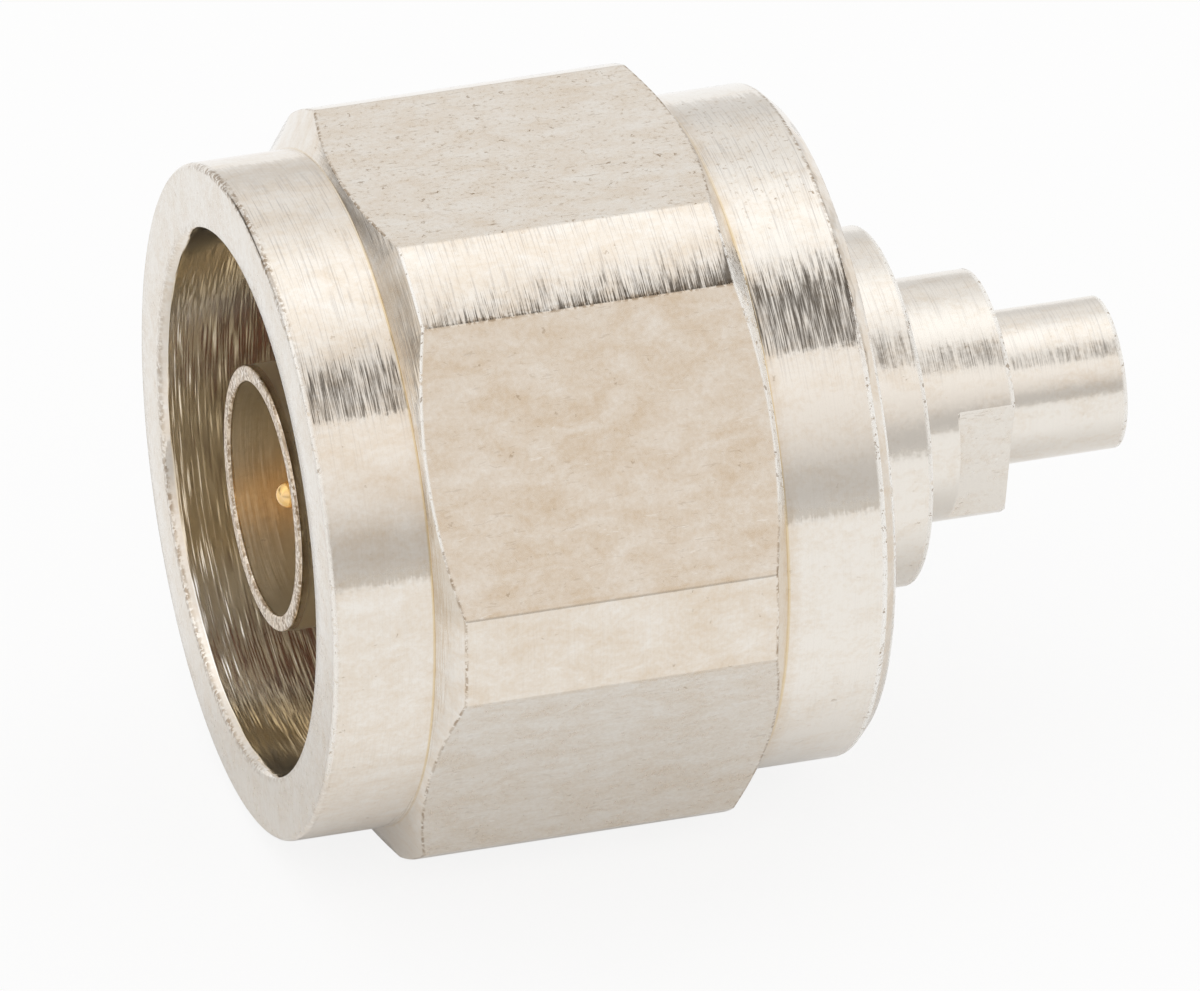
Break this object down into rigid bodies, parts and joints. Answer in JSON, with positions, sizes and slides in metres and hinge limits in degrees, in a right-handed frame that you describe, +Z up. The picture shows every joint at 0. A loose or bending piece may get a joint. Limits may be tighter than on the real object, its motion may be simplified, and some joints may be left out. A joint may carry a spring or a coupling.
{
  "type": "coaxial connector plug",
  "caption": "Threaded coaxial plug for semi-rigid cable, with a free-turning hex coupling nut, a centre pin and a solder sleeve.",
  "frame": {"origin": "centre of the outer contact's front edge, which is the mating plane", "axes": "+X along the connector's axis towards the cable, +Z up when the plug lies on a flat of its hex nut"},
  "size_m": [0.0269, 0.0224, 0.0206],
  "materials": {
    "plated_nut": "turned and milled brass with bright nickel plate",
    "plated_shell": "turned brass with bright nickel plate",
    "plated_sleeve": "turned brass with bright nickel plate",
    "spring_bronze": "plain spring bronze",
    "silicone": "moulded silicone rubber",
    "fluoropolymer": "machined white fluoropolymer",
    "gold_plate": "gold-plated brass"
  },
  "bodies": {
    "plug_body": {"shell": "plated_shell", "insulator": "fluoropolymer", "centre_contact": "gold_plate", "cable_sleeve": "plated_sleeve", "gasket": "silicone"},
    "ring": {"retaining_ring": "spring_bronze"},
    "nut": {"coupling_nut": "plated_nut"}
  },
  "joints": [
    {"name": "nut_float", "type": "slide", "parent": "plug_body", "child": "ring", "axis": [1, 0, 0], "range_m": [-0.00015, 0.00015]},
    {"name": "nut_spin", "type": "hinge", "parent": "ring", "child": "nut", "pos_m": [0.01488, 0, 0], "axis": [1, 0, 0], "continuous": true}
  ]
}
